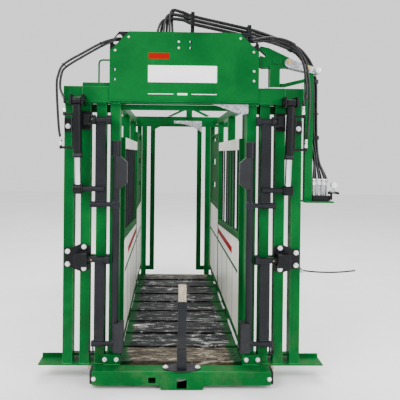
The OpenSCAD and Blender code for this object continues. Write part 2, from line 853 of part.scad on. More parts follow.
module boom_frame() {
    post_r = 33;
    arm_t = 8;
    pivot_h = 136;
    shelf_t = 10;
    brace_x = drop_x - drop_h + 1;
    arm = [
        [502, 2229], [560, 2218], [700, 2153], [716, 2120], [700, 2088], [520, 2084], [502, 2092],
        [502, 2166], [536, 2156], [545, 2170], [502, 2206]];
    brace = [[630, 1960], [672, 1960], [brace_x, 1996], [brace_x, 2020], [664, 1984], [630, 1984]];
    color(green) {
        difference() {
            block([boom_x - post_r, boom_y - post_r, header_top + 13],
                [boom_x + post_r, boom_y + post_r, 2100]);
            translate([boom_x, boom_y, header_top]) cylinder(h = pivot_h, r = boom_pin_r + fit);
        }
        for (y = [boom_y - 23, boom_y + 15])
            plate_xz(y, arm_t) polygon(arm);
        rod_y(618, boom_y - 30, boom_y + 30, 2136, 28);
        translate([drop_x, boom_y, 0])
            tube([-drop_h, -drop_h, boom_low], [drop_h, drop_h, 2062], 2, 4);
        plate_xz(boom_y - 12, 24) polygon(brace);
        block([drop_x - 29, boom_y - 60, boom_low - shelf_t], [997, boom_y + 60, boom_low]);
    }
}

module boom_link() {
    near = [694, 2117];
    far = [888, 2062];
    middle = [832, 2075];
    link_t = 8;
    color(zinc) {
        for (y = [boom_y - 36, boom_y + 26])
            plate_xz(y, link_t) hull() {
                translate(near) circle(r = 29);
                translate(far) circle(r = 19);
            }
        for (p = [near, middle])
            rod_y(p[0], boom_y - 47, boom_y + 40, p[1], 10);
        rod_y(far[0], boom_y - 52, boom_y + 42, far[1], 14);
    }
}

module valve_body() {
    color(black) {
        block([valve_x[0], valve_y[0], boom_low], [valve_x[1], valve_y[1], valve_top]);
        block([valve_x[1] - 1, boom_y - 36, boom_low + 4], [lever_x - 8, boom_y + 36, valve_top]);
        // pivot rod of the levers on two posts
        rod_y(lever_x, boom_y - 44, boom_y + 44, lever_z, lever_pin_r);
        for (y = [boom_y - 44, boom_y + 38])
            block([lever_x - 9, y, boom_low + 10], [lever_x + 5, y + 6, lever_z + 6]);
    }
}

module valve_fittings() {
    nut_h = 26;
    nut_r = 10.5;
    stem_r = 9;
    color(zinc) for (k = [0:5]) {
        translate([valve_port_x + valve_pitch * k, boom_y + hose_cols[k % 2], valve_top]) {
            cylinder(h = nut_h, r = nut_r, $fn = 6);
            translate([0, 0, nut_h - 1]) cylinder(h = fitting_top - valve_top - nut_h + 1, r = stem_r);
        }
    }
}

module valve_lever(k) {
    y = boom_y + (k - 2) * lever_pitch;
    hub_r = 9;
    handle = 50;
    color(black) difference() {
        union() {
            rod_y(lever_x, y - 6, y + 6, lever_z, hub_r);
            rod_x(lever_x + 5, lever_x + handle, y, lever_z, 4);
            translate([lever_x + handle, y, lever_z]) sphere(r = hub_r);
        }
        rod_y(lever_x, y - 10, y + 10, lever_z, lever_pin_r + fit);
    }
}
module valve_lever_1() { valve_lever(1); }
module valve_lever_2() { valve_lever(2); }
module valve_lever_3() { valve_lever(3); }

module pressure_gauge() {
    case_r = 20;
    pipe_r = 6;
    pipe_y = gauge_c[1] - 10;
    color(zinc) {
        rod_y(gauge_c[0], gauge_c[1] - 22, gauge_c[1] + 4, gauge_c[2], case_r);
        translate([gauge_c[0], pipe_y, gauge_c[2] - 34]) cylinder(h = 18, r = pipe_r);
        rod_x(valve_x[1] - 10, gauge_c[0] + pipe_r, pipe_y, gauge_c[2] - 38, pipe_r);
        translate([valve_x[1] - 10, pipe_y, valve_top])
            cylinder(h = gauge_c[2] - 32 - valve_top, r = pipe_r);
    }
}

module release_lever() {
    half = release_span / 2;
    centre = release_c + release_r * [sin(half), 0, cos(half)];
    color(graphite) difference() {
        union() {
            rod_y(release_c[0], release_c[1] - 14, release_c[1] + 14, release_c[2], 10);
            translate(centre) rotate([90, 0, 0]) rotate([0, 0, 270 - half])
                rotate_extrude(angle = release_span) translate([release_r, 0]) circle(r = 5);
        }
        rod_y(release_c[0], release_c[1] - 20, release_c[1] + 20, release_c[2], 4 + fit);
    }
}

// ---- hoses ----

// Offsets of hose k from the middle of the bundle
function row(k) = hose_rows[floor(k / 2)];
function col(k) = hose_cols[k % 2];

function top_route(k) = [
    [manifold_x + hose_step * k, manifold_y, manifold_top],
    [manifold_x + hose_step * k, manifold_y, 2130],
    [manifold_x + hose_step * k - 4, manifold_y + col(k), 2290],
    [manifold_x + 12 * k + 40, manifold_y + col(k), 2424 + 1.5 * row(k)],
    [-20, manifold_y + col(k), 2428 + row_open * row(k)],
    [53, manifold_y + col(k), 2402 + row_open * row(k)],
    [240, manifold_y + col(k), 2362 + row_open * row(k)],
    [430, manifold_y + col(k), 2321 + row_open * row(k)]];
function pivot_route(k) = [
    [430, manifold_y + col(k), 2321 + row_open * row(k)],
    [520, manifold_y + 20 + col(k), 2304 + 1.2 * row(k)],
    [620, manifold_y + 52 + col(k), 2284 + row(k)],
    [720, manifold_y + 70 + col(k), 2252 + row(k)]];
function drop_route(k) = [
    [720, manifold_y + 70 + col(k), 2252 + row(k)],
    [796 + 0.5 * row(k), manifold_y + 74 + col(k), 2208 + 0.8 * row(k)],
    [858 + 0.9 * row(k), manifold_y + 74 + col(k), 2120 + 0.4 * row(k)],
    [886 + row(k), manifold_y + 70 + col(k), 2011],
    [888 + row(k), manifold_y + 62 + col(k), 1820],
    [888 + row(k), manifold_y + 48 + col(k), 1628],
    [892 + 0.4 * row(k) + 3 * k, manifold_y + 18 + col(k), 1480],
    [valve_port_x + valve_pitch * k, boom_y + col(k), 1360],
    [valve_port_x + valve_pitch * k, boom_y + col(k), fitting_top]];

module hoses_top() {
    color(rubber) for (k = [0:5]) hose(top_route(k), hose_d, 4, up, clamp_way);
}
module hoses_pivot() {
    color(rubber) for (k = [0:5]) hose(pivot_route(k), hose_d, 2, clamp_way, boom_way);
}
module hoses_drop() {
    color(rubber) for (k = [0:5]) hose(drop_route(k), hose_d, 3, boom_way, -up);
    color(black) for (c = [[886, manifold_y + 70, 2011], [888, manifold_y + 48, 1628]])
        difference() {
            block([c[0] - 36, c[1] - 28, c[2] - 12], [c[0] + 36, c[1] + 28, c[2] + 12]);
            block([c[0] - 31, c[1] - 23, c[2] - 13], [c[0] + 31, c[1] + 23, c[2] + 13]);
        }
}

// Point above port k of a left cylinder, on the port's own axis
function port_end(k, above) =
    [-port_x[k], cyl_pin_y, cyl_pin_z] + cylinder_way * (port_s[k] - 27 - above);
function flip(p) = [-p[0], p[1], p[2]];
function left_route(k) = [
    [manifold_x - 90 + 28 * k, manifold_y + 14, manifold_top],
    [manifold_x - 100 + 28 * k, manifold_y + 12, 2110],
    [-330, manifold_y - 20, 2238 - 18 * k],
    [-416 - 11 * k, sign_back + 20, 2262 - 13 * k],
    [-436 - 11 * k, sign_back + 4, 2260 - 13 * k],
    [-456 - 11 * k, sign_back - 14, 2252 - 14 * k],
    [-540, sign_back - 40, 2216 - 20 * k],
    [-650, sign_back - 46, 2154 - 23 * k],
    [-776 + 12 * k, sign_back - 50, 2076 - 19 * k],
    [-812 + 20 * k, sign_back - 52, 2005],
    [-820 + 23 * k, sign_back - 54, 1920],
    port_end(1 - k, 110 - 40 * k) + [-12 + 12 * k, 4, 0],
    port_end(1 - k, 30),
    port_end(1 - k, 0.5)];
function right_route(k) = [
    [manifold_x + 132 + 20 * k, manifold_y + 14, manifold_top],
    [manifold_x + 140 + 20 * k, manifold_y + 4, 2085],
    [50, manifold_y - 30, 2166 - 18 * k],
    [200, manifold_y - 34, 2216 - 19 * k],
    [330, manifold_y - 36, 2250 - 18 * k],
    [416 + 11 * k, sign_back + 20, 2263 - 13 * k],
    [436 + 11 * k, sign_back + 4, 2261 - 13 * k],
    [458 + 11 * k, sign_back - 14, 2259 - 13 * k],
    [570, sign_back - 42, 2262 - 18 * k],
    [690, sign_back - 50, 2230 - 18 * k],
    [775 - 17 * k, sign_back - 52, 2130],
    [803 - 18 * k, sign_back - 52, 2010],
    [812 - 18 * k, sign_back - 52, 1880],
    flip(port_end(1 - k, 110 - 40 * k)) + [10 - 10 * k, 4, 0],
    flip(port_end(1 - k, 30)),
    flip(port_end(1 - k, 0.5))];

module hose_pair_left() {
    color(rubber) for (k = [0, 1]) hose(left_route(k), pair_d, 3, up, cylinder_way);
}
module hose_pair_right() {
    color(rubber) for (k = [0, 1]) hose(right_route(k), pair_d, 3, up, cylinder_way);
}

base_rails();
base_cross_members();
front_base_beam();
beam_end_caps();
hitch_receiver();
floor_treads();
foot_plates();
front_posts_left();
front_posts_right();
header_beam();
rear_frame();
side_frames();
sign_panel();
hose_brackets();
galvanised_plates();
bearing_brackets();
cylinder_brackets();
frame_bolts();
center_post();
gate_tracks();
hinge_pins();
hose_guard_rod();
hydraulic_manifold();
center_post_insert();
head_gate_left();
head_gate_right();
tail_gate_left();
tail_gate_right();
squeeze_frame_left();
squeeze_frame_right();
squeeze_bars_left();
squeeze_bars_right();
squeeze_boards_left();
squeeze_boards_right();
upper_arm_left();
upper_arm_right();
lower_arm_left();
lower_arm_right();
neck_bar_left();
neck_bar_right();
neck_pads_left();
neck_pads_right();
neck_cylinder_left();
neck_cylinder_right();
cylinder_rod_left();
cylinder_rod_right();
boom_frame();
boom_link();
valve_body();
valve_fittings();
valve_lever_1();
valve_lever_2();
valve_lever_3();
pressure_gauge();
release_lever();
hoses_top();
hoses_pivot();
hoses_drop();
hose_pair_left();
hose_pair_right();
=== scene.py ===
"""Hydraulic cattle squeeze chute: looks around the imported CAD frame.

Distances are in metres in the row frame: +X to the right of the head end, +Y from head to tail, +Z up.
The hose routes are in millimetres.
"""

import json
import math
import random

import bmesh
import bpy
from mathutils import Matrix, Quaternion, Vector

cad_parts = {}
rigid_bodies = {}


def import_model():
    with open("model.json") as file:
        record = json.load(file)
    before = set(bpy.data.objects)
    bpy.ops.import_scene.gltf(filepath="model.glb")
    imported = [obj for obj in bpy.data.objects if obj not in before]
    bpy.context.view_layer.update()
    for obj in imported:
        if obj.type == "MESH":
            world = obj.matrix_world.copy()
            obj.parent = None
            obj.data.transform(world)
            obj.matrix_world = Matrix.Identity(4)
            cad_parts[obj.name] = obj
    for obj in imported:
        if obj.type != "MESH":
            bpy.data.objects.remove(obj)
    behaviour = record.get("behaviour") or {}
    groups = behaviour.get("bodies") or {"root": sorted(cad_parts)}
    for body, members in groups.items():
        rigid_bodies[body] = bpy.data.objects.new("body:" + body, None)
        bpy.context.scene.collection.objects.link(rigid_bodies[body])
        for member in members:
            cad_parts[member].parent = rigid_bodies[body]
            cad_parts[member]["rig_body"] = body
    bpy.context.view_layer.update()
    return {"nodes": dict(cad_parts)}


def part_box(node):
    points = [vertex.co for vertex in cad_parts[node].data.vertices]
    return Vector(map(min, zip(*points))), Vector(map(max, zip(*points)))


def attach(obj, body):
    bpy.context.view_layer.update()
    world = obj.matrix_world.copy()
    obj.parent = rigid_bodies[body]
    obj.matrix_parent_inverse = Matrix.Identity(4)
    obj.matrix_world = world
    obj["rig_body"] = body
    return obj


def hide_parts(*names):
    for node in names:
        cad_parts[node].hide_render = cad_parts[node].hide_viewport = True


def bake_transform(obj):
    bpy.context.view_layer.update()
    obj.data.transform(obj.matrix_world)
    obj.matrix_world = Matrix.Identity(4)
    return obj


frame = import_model()
SCENE = bpy.context.scene
MM = 0.001
UP = Vector((0, 0, 1))
AHEAD = Vector((0, -1, 0))
SIDES = (("left", -1), ("right", 1))


# ---------------------------------------------------------------- camera


def make_camera():
    """Camera at a standing person's eye height in front of the head gate. Angles are in radians."""
    yaw, pitch, roll = 0.0192, 0.0067, 0.0106
    data = bpy.data.cameras.new("camera")
    data.lens = 42.5
    data.sensor_width = 36.0
    data.shift_x = 0.060
    data.shift_y = -0.1065
    camera = bpy.data.objects.new("camera", data)
    SCENE.collection.objects.link(camera)
    forward = Vector((math.sin(yaw) * math.cos(pitch), math.cos(yaw) * math.cos(pitch), -math.sin(pitch)))
    camera.rotation_mode = "QUATERNION"
    camera.rotation_quaternion = forward.to_track_quat("-Z", "Y") @ Quaternion((0, 0, 1), roll)
    camera.location = (-0.109, -4.391, 1.505)
    SCENE.camera = camera


# ---------------------------------------------------------------- mesh helpers


def new_object(name, mesh, body, *materials):
    """Object from a finished mesh, riding on a CAD body."""
    obj = bpy.data.objects.new(name, mesh)
    SCENE.collection.objects.link(obj)
    for material in materials:
        mesh.materials.append(material)
    if body is not None:
        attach(obj, body)
    return obj


def mesh_from(name, points, faces):
    """Smooth-shaded mesh from points and faces."""
    mesh = bpy.data.meshes.new(name)
    mesh.from_pydata([tuple(p) for p in points], [], faces)
    mesh.update()
    mesh.polygons.foreach_set("use_smooth", [True] * len(mesh.polygons))
    return mesh


def apply_modifiers(obj):
    """Turns an object's modifiers into its mesh."""
    graph = bpy.context.evaluated_depsgraph_get()
    mesh = bpy.data.meshes.new_from_object(obj.evaluated_get(graph))
    obj.modifiers.clear()
    obj.data = mesh


def add_bevel(obj, width, edge_slot):
    """Rounded edges in their own material slot, with normals that keep the faces flat."""
    bevel = obj.modifiers.new("bevel", "BEVEL")
    bevel.width = width
    bevel.segments = 2
    bevel.limit_method = "ANGLE"
    bevel.angle_limit = math.radians(35)
    bevel.material = edge_slot
    flat = obj.modifiers.new("flat", "WEIGHTED_NORMAL")
    flat.weight = 90


def spline(points, steps):
    """Catmull-Rom curve through the points."""
    p = [Vector(q) for q in points]
    line = []
    for i in range(len(p) - 1):
        a, b, c, d = p[max(i - 1, 0)], p[i], p[i + 1], p[min(i + 2, len(p) - 1)]
        for k in range(steps):
            t = k / steps
            line.append(0.5 * (2 * b + (c - a) * t + (2 * a - 5 * b + 4 * c - d) * t * t
                               + (3 * b - a - 3 * c + d) * t * t * t))
    line.append(p[-1])
    return line


def tube_part(line, radius, sides=12):
    """Round tube along a line, as points and faces. radius is a number or a function of the distance."""
    line = [Vector(p) for p in line]
    n = len(line)
    size = radius if callable(radius) else (lambda s: radius)
    tangent = (line[1] - line[0]).normalized()
    side = tangent.orthogonal().normalized()
    points = []
    along = 0.0
    for i, point in enumerate(line):
        ahead = (line[min(i + 1, n - 1)] - line[max(i - 1, 0)]).normalized()
        side = (tangent.rotation_difference(ahead).to_matrix() @ side).normalized()
        tangent = ahead
        across = tangent.cross(side)
        if i:
            along += (point - line[i - 1]).length
        r = size(along)
        for k in range(sides):
            turn = 2 * math.pi * k / sides
            points.append(point + r * (side * math.cos(turn) + across * math.sin(turn)))
    return points, ring_faces(n, sides)


def ring_faces(rings, sides):
    """Faces of a closed tube made of rings with the same number of points."""
    faces = []
    for i in range(rings - 1):
        for k in range(sides):
            m = (k + 1) % sides
            faces.append((i * sides + k, i * sides + m, (i + 1) * sides + m, (i + 1) * sides + k))
    faces.append(tuple(range(sides - 1, -1, -1)))
    faces.append(tuple((rings - 1) * sides + k for k in range(sides)))
    return faces


def lathe_part(centre, way, profile, sides=24):
    """Solid turned about an axis. profile is a list of (radius, distance along the axis)."""
    way = Vector(way).normalized()
    u = way.orthogonal().normalized()
    v = way.cross(u)
    points = []
    for r, along in profile:
        for k in range(sides):
            turn = 2 * math.pi * k / sides
            points.append(Vector(centre) + way * along + r * (u * math.cos(turn) + v * math.sin(turn)))
    return points, ring_faces(len(profile), sides)


def prism_part(outline, low, high, shrink=0.0):
    """Upright block over an outline in X and Y, its top drawn in a little."""
    n = len(outline)
    cx = sum(p[0] for p in outline) / n
    cy = sum(p[1] for p in outline) / n
    points = [Vector((x, y, low)) for x, y in outline]
    points += [Vector((x + (cx - x) * shrink, y + (cy - y) * shrink, high)) for x, y in outline]
    return points, ring_faces(2, n)


def turned(part, matrix):
    """A part moved by a matrix."""
    points, faces = part
    return [matrix @ p for p in points], faces


def merged(name, parts, body, material, sharp=35):
    """One object from many closed parts."""
    points = []
    faces = []
    for part_points, part_faces in parts:
        base = len(points)
        points += part_points
        faces += [tuple(base + i for i in face) for face in part_faces]
    mesh = mesh_from(name, points, faces)
    mesh.set_sharp_from_angle(angle=math.radians(sharp))
    return new_object(name, mesh, body, material)


def sweep(name, line, radius):
    """Mesh of a round tube along a line."""
    points, faces = tube_part(line, radius)
    mesh = mesh_from(name, points, faces)
    mesh.set_sharp_from_angle(angle=math.radians(50))
    return mesh


# ---------------------------------------------------------------- hose routes

HOSE_D = 17 * MM
PAIR_D = 16 * MM
ROUTE_STEPS = 8
FRONT_Y = -1225
SIGN_BACK = -1292
MANIFOLD = (-180, FRONT_Y - 10, 2012)
MANIFOLD_PITCH = 21
VALVE_PORT_X = 874
VALVE_PITCH = 17.5
BUNDLE_ROWS = (-19, 0, 19)
BUNDLE_COLUMNS = (-10, 10)
ROW_OPEN = 1.35
LINK_Y = -1309.5
CYLINDER_PIN = Vector((-685, LINK_Y - 60, 1840))
CYLINDER_WAY = (Vector((-685, LINK_Y, 1275)) - CYLINDER_PIN).normalized()
PORTS = ((767, 86), (793, 300))


def metres(points):
    """Route points in millimetres as vectors in metres."""
    return [Vector(p) * MM for p in points]


def bundle_route(k):
    """Supply hose k from the manifold, over the sign and down the boom to its valve fitting."""
    x, y, top = MANIFOLD
    port = x + MANIFOLD_PITCH * k
    r = BUNDLE_ROWS[k // 2]
    c = BUNDLE_COLUMNS[k % 2]
    valve = VALVE_PORT_X + VALVE_PITCH * k
    return [
        (port, y, top), (port, y, 2130), (port - 4, y + c, 2290),
        (x + 12 * k + 40, y + c, 2424 + 1.5 * r), (-20, y + c, 2428 + ROW_OPEN * r),
        (53, y + c, 2402 + ROW_OPEN * r), (240, y + c, 2362 + ROW_OPEN * r),
        (430, y + c, 2321 + ROW_OPEN * r), (520, y + 20 + c, 2304 + 1.2 * r),
        (620, y + 52 + c, 2284 + r), (720, y + 70 + c, 2252 + r),
        (796 + 0.5 * r, y + 74 + c, 2208 + 0.8 * r), (858 + 0.9 * r, y + 74 + c, 2120 + 0.4 * r),
        (886 + r, y + 70 + c, 2011), (888 + r, y + 62 + c, 1820), (888 + r, y + 48 + c, 1628),
        (892 + 0.4 * r + 3 * k, y + 18 + c, 1480), (valve, FRONT_Y - 15 + c, 1360),
        (valve, FRONT_Y - 15 + c, 1312)]


def port_end(k, above):
    """Point above port k of the left cylinder, on the port's own axis."""
    x, s = PORTS[k]
    point = CYLINDER_PIN + CYLINDER_WAY * (s - 27 - above)
    return Vector((-x, point.y, point.z))


def left_route(k):
    """Hose k of the left pair, from the manifold through the corner bracket to the cylinder."""
    x, y, top = MANIFOLD
    return [
        (x - 90 + 28 * k, y + 14, top), (x - 100 + 28 * k, y + 12, 2110), (-330, y - 20, 2238 - 18 * k),
        (-416 - 11 * k, SIGN_BACK + 20, 2262 - 13 * k), (-436 - 11 * k, SIGN_BACK + 4, 2260 - 13 * k),
        (-456 - 11 * k, SIGN_BACK - 14, 2252 - 14 * k), (-540, SIGN_BACK - 40, 2216 - 20 * k),
        (-650, SIGN_BACK - 46, 2154 - 23 * k), (-776 + 12 * k, SIGN_BACK - 50, 2076 - 19 * k),
        (-812 + 20 * k, SIGN_BACK - 52, 2005), (-820 + 23 * k, SIGN_BACK - 54, 1920),
        port_end(1 - k, 110 - 40 * k) + Vector((-12 + 12 * k, 4, 0)),
        port_end(1 - k, 30), port_end(1 - k, 0.5)]


def right_route(k):
    """Hose k of the right pair, to the mirror image of the left cylinder's ports."""
    x, y, top = MANIFOLD
    flip = Vector((-1, 1, 1))
    return [
        (x + 132 + 20 * k, y + 14, top), (x + 140 + 20 * k, y + 4, 2085), (50, y - 30, 2166 - 18 * k),
        (200, y - 34, 2216 - 19 * k), (330, y - 36, 2250 - 18 * k),
        (416 + 11 * k, SIGN_BACK + 20, 2263 - 13 * k), (436 + 11 * k, SIGN_BACK + 4, 2261 - 13 * k),
        (458 + 11 * k, SIGN_BACK - 14, 2259 - 13 * k), (570, SIGN_BACK - 42, 2267 - 18 * k),
        (690, SIGN_BACK - 50, 2234 - 18 * k), (775 - 17 * k, SIGN_BACK - 52, 2130),
        (803 - 18 * k, SIGN_BACK - 52, 2010), (812 - 18 * k, SIGN_BACK - 52, 1880),
        port_end(1 - k, 110 - 40 * k) * flip + Vector((10 - 10 * k, 4, 0)),
        port_end(1 - k, 30) * flip, port_end(1 - k, 0.5) * flip]


ROUTES = {"left": left_route, "right": right_route}


def make_hoses(finish):
    """Six supply hoses that run over the boom's pivot, and two pairs that run to the cylinders."""
    boom_bend = ((0.43, -1.235, 2.32), (0.80, -1.16, 2.20))
    made = []
    for k in range(6):
        name = f"supply_hose_{k + 1}"
        line = spline(metres(bundle_route(k)), ROUTE_STEPS)
        hose = new_object(name, sweep(name, line, HOSE_D / 2), None, finish)
        made.append((hose, line, HOSE_D, "boom", *boom_bend))
    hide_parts("hoses_top", "hoses_pivot", "hoses_drop")
    for side, sign in SIDES:
        for k in (0, 1):
            name = f"cylinder_hose_{side}_{k + 1}"
            line = spline(metres(ROUTES[side](k)), ROUTE_STEPS)
            hose = new_object(name, sweep(name, line, PAIR_D / 2), None, finish)
            end = line[-1]
            bend_start = Vector((sign * 0.80, -1.345, end.z + 0.45 - 0.1 * k))
            made.append((hose, line, PAIR_D, f"cylinder_{side}", bend_start, end + 0.02 * UP))
        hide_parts(f"hose_pair_{side}")
    for hose, line, diameter, body, bend_start, bend_end in made:
        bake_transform(hose)


# ---------------------------------------------------------------- materials


class Shader:
    """Small builder for one procedural material."""

    def __init__(self, name, rough, metal=0.0, coat=0.0, shine=0.5):
        self.material = bpy.data.materials.new(name)
        self.material.use_nodes = True
        self.tree = self.material.node_tree
        self.bsdf = self.tree.nodes["Principled BSDF"]
        self.bsdf.inputs["Roughness"].default_value = rough
        self.bsdf.inputs["Metallic"].default_value = metal
        self.bsdf.inputs["Coat Weight"].default_value = coat
        self.bsdf.inputs["Coat Roughness"].default_value = 0.18
        self.bsdf.inputs["Specular IOR Level"].default_value = shine
        self.coords = self.tree.nodes.new("ShaderNodeTexCoord").outputs["Object"]

    def put(self, socket, value):
        """Links a socket, or sets its constant value."""
        if isinstance(value, bpy.types.NodeSocket):
            self.tree.links.new(value, socket)
        else:
            socket.default_value = value

    def scaled(self, stretch):
        """Object coordinates, stretched unless stretch is None."""
        if stretch is None:
            return self.coords
        node = self.tree.nodes.new("ShaderNodeMapping")
        self.put(node.inputs["Vector"], self.coords)
        node.inputs["Scale"].default_value = stretch
        return node.outputs["Vector"]

    def noise(self, scale, detail=4.0, rough=0.55, stretch=None, warp=0.0):
        """Cloudy pattern between 0 and 1."""
        node = self.tree.nodes.new("ShaderNodeTexNoise")
        self.put(node.inputs["Vector"], self.scaled(stretch))
        node.inputs["Scale"].default_value = scale
        node.inputs["Detail"].default_value = detail
        node.inputs["Roughness"].default_value = rough
        node.inputs["Distortion"].default_value = warp
        return node.outputs["Fac"]

    def cells(self, scale):
        """Random level for each cell of a crystal pattern."""
        node = self.tree.nodes.new("ShaderNodeTexVoronoi")
        self.put(node.inputs["Vector"], self.coords)
        node.inputs["Scale"].default_value = scale
        return node.outputs["Color"]

    def axis(self, index):
        """One object coordinate: 0 for X, 1 for Y, 2 for Z."""
        node = self.tree.nodes.new("ShaderNodeSeparateXYZ")
        self.put(node.inputs[0], self.coords)
        return node.outputs[index]

    def span(self, value, low, high, out_low=0.0, out_high=1.0):
        """Straight-line change of a value between two levels, held past them."""
        node = self.tree.nodes.new("ShaderNodeMapRange")
        node.clamp = True
        self.put(node.inputs["Value"], value)
        limits = {"From Min": low, "From Max": high, "To Min": out_low, "To Max": out_high}
        for name, number in limits.items():
            node.inputs[name].default_value = number
        return node.outputs["Result"]

    def maths(self, kind, a, b=0.0):
        """One arithmetic step."""
        node = self.tree.nodes.new("ShaderNodeMath")
        node.operation = kind
        self.put(node.inputs[0], a)
        self.put(node.inputs[1], b)
        return node.outputs[0]

    def ramp(self, value, *stops):
        """Colour by level. Each stop is (level, colour)."""
        node = self.tree.nodes.new("ShaderNodeValToRGB")
        self.put(node.inputs["Fac"], value)
        elements = node.color_ramp.elements
        while len(elements) < len(stops):
            elements.new(0.5)
        for element, (place, colour) in zip(elements, stops):
            element.position = place
            element.color = (*colour, 1.0)
        return node.outputs["Color"]

    def mix(self, factor, a, b):
        """Colour between a and b."""
        node = self.tree.nodes.new("ShaderNodeMix")
        node.data_type = "RGBA"
        self.put(node.inputs[0], factor)
        for socket, value in ((node.inputs[6], a), (node.inputs[7], b)):
            self.put(socket, value if isinstance(value, bpy.types.NodeSocket) else (*value, 1.0))
        return node.outputs[2]

    def colour(self, value):
        """Sets the base colour."""
        self.put(self.bsdf.inputs["Base Color"], value)

    def roughness(self, value, low, high):
        """Roughness that follows a pattern."""
        self.put(self.bsdf.inputs["Roughness"], self.span(value, 0.25, 0.75, low, high))

    def bump(self, height, strength, distance):
        """Relief that follows a pattern."""
        node = self.tree.nodes.new("ShaderNodeBump")
        node.inputs["Strength"].default_value = strength
        node.inputs["Distance"].default_value = distance
        self.put(node.inputs["Height"], height)
        self.put(self.bsdf.inputs["Normal"], node.outputs["Normal"])


def paint(name, deep, main, light, rough, chips, bare, shine):
    """Sprayed enamel: cloudy colour, orange peel, small chips, and a painted glow of light from the floor
    near the ground, in a dust colour.
    """
    s = Shader(name, rough, shine=shine)
    cloud = s.noise(2.2, 5.0, 0.6, warp=0.4)
    fine = s.noise(38.0, 6.0, 0.6)
    base = s.ramp(cloud, (0.28, deep), (0.52, main), (0.78, light))
    base = s.mix(s.span(fine, 0.35, 0.8, 0.0, 0.35), base, deep)
    scratch = s.noise(26.0, 8.0, 0.72, stretch=(1.0, 1.0, 0.35))
    chipped = s.span(scratch, chips, chips + 0.035)
    base = s.mix(chipped, base, bare)
    # Painted light: the colour lightens towards the ground, standing in for light reflected from the pale
    # floor, tinted like dust.
    low = s.span(s.axis(2), 0.0, 0.45, 1.0, 0.0)
    painted_floor_glow = s.maths("MULTIPLY", low, s.span(s.noise(7.0, 6.0, 0.65), 0.48, 0.80, 0.0, 0.22))
    s.colour(s.mix(painted_floor_glow, base, (0.20, 0.17, 0.12)))
    s.roughness(fine, rough - 0.08, rough + 0.12)
    s.bump(s.noise(260.0, 2.0), 0.10, 0.0006)
    return s.material


def zinc_coat(name, tint, dark, rough, metal):
    """Hot-dip galvanising: spangles, dull streaks and white bloom."""
    s = Shader(name, rough, metal)
    base = s.ramp(s.cells(95.0), (0.1, dark), (0.55, tint), (0.95, tuple(min(1, c * 1.2) for c in tint)))
    cloud = s.noise(9.0, 6.0, 0.65)
    s.colour(s.mix(s.span(cloud, 0.5, 0.75, 0.0, 0.5), base, (0.55, 0.55, 0.53)))
    s.roughness(cloud, rough - 0.12, rough + 0.15)
    s.bump(s.noise(180.0, 3.0), 0.08, 0.0005)
    return s.material


def chrome():
    """Polished rod with fine lines around it."""
    s = Shader("chrome", 0.10, 1.0)
    lines = s.noise(30.0, 5.0, 0.6, stretch=(14.0, 14.0, 0.6))
    s.colour(s.ramp(lines, (0.3, (0.74, 0.75, 0.78)), (0.7, (0.93, 0.93, 0.95))))
    s.roughness(lines, 0.07, 0.20)
    s.bump(lines, 0.05, 0.0003)
    return s.material


def rubber(name, deep, main, rough, grain, depth):
    """Black rubber with scuffs and a fine grain."""
    s = Shader(name, rough, shine=0.3)
    cloud = s.noise(12.0, 5.0, 0.6)
    fine = s.noise(grain, 3.0, 0.6)
    base = s.ramp(cloud, (0.3, deep), (0.75, main))
    scuff = s.span(s.noise(30.0, 8.0, 0.7), 0.62, 0.72, 0.0, 0.45)
    s.colour(s.mix(scuff, base, tuple(min(1, c * 2.4 + 0.02) for c in main)))
    s.roughness(fine, rough - 0.15, rough + 0.1)
    s.bump(fine, 0.18, depth)
    return s.material


def tread_plate():
    """Floor treads: paint worn away in the middle to dark, polished and muddy steel, whose light streaks
    are painted reflection as well as worn metal.
    """
    s = Shader("worn_tread", 0.5, shine=0.22)
    streak = s.noise(4.6, 10.0, 0.72, stretch=(1.0, 3.4, 3.4), warp=1.6)
    # Painted reflection: the palest streaks of this ramp stand in for the sheen of wet steel, laid over
    # dark worn metal.
    steel_and_sheen = s.ramp(streak, (0.40, (0.0012, 0.0015, 0.0018)), (0.52, (0.005, 0.006, 0.007)),
                   (0.575, (0.09, 0.095, 0.098)), (0.64, (0.62, 0.61, 0.57)))
    mud = s.ramp(streak, (0.40, (0.012, 0.010, 0.007)), (0.53, (0.085, 0.066, 0.042)),
                 (0.66, (0.48, 0.41, 0.31)))
    front = s.span(s.axis(1), -1.01, -0.97, 0.9, 0.0)
    back = s.span(s.axis(1), 0.85, 1.05, 0.0, 0.9)
    patches = s.span(s.noise(2.6, 3.0), 0.60, 0.74, 0.0, 0.4)
    muddy = s.maths("MAXIMUM", s.maths("MAXIMUM", front, back), patches)
    # Mud over the steel, which carries the painted sheen streaks.
    worn = s.mix(muddy, steel_and_sheen, mud)
    wobble = s.maths("MULTIPLY", s.maths("SUBTRACT", s.noise(5.0, 6.0, 0.65), 0.5), 0.20)
    from_middle = s.maths("ADD", s.maths("ABSOLUTE", s.axis(0)), wobble)
    edge = s.span(from_middle, 0.340, 0.372)
    green = s.ramp(s.noise(6.0, 5.0), (0.3, (0.0004, 0.018, 0.004)), (0.7, (0.0010, 0.080, 0.014)))
    s.colour(s.mix(edge, worn, green))
    s.roughness(streak, 0.62, 0.34)
    s.bump(streak, 0.5, 0.004)
    return s.material


def board():
    """Painted sheet: warm white with scuffs and rubbed marks."""
    s = Shader("cream_board", 0.45, coat=0.1)
    cloud = s.noise(3.0, 6.0, 0.6)
    base = s.ramp(cloud, (0.3, (0.60, 0.59, 0.53)), (0.7, (0.78, 0.77, 0.71)))
    rub = s.span(s.noise(7.0, 9.0, 0.75, stretch=(1.0, 0.4, 1.6)), 0.58, 0.70, 0.0, 0.4)
    s.colour(s.mix(rub, base, (0.38, 0.36, 0.30)))
    s.roughness(cloud, 0.36, 0.55)
    s.bump(s.noise(160.0, 3.0), 0.08, 0.0006)
    return s.material


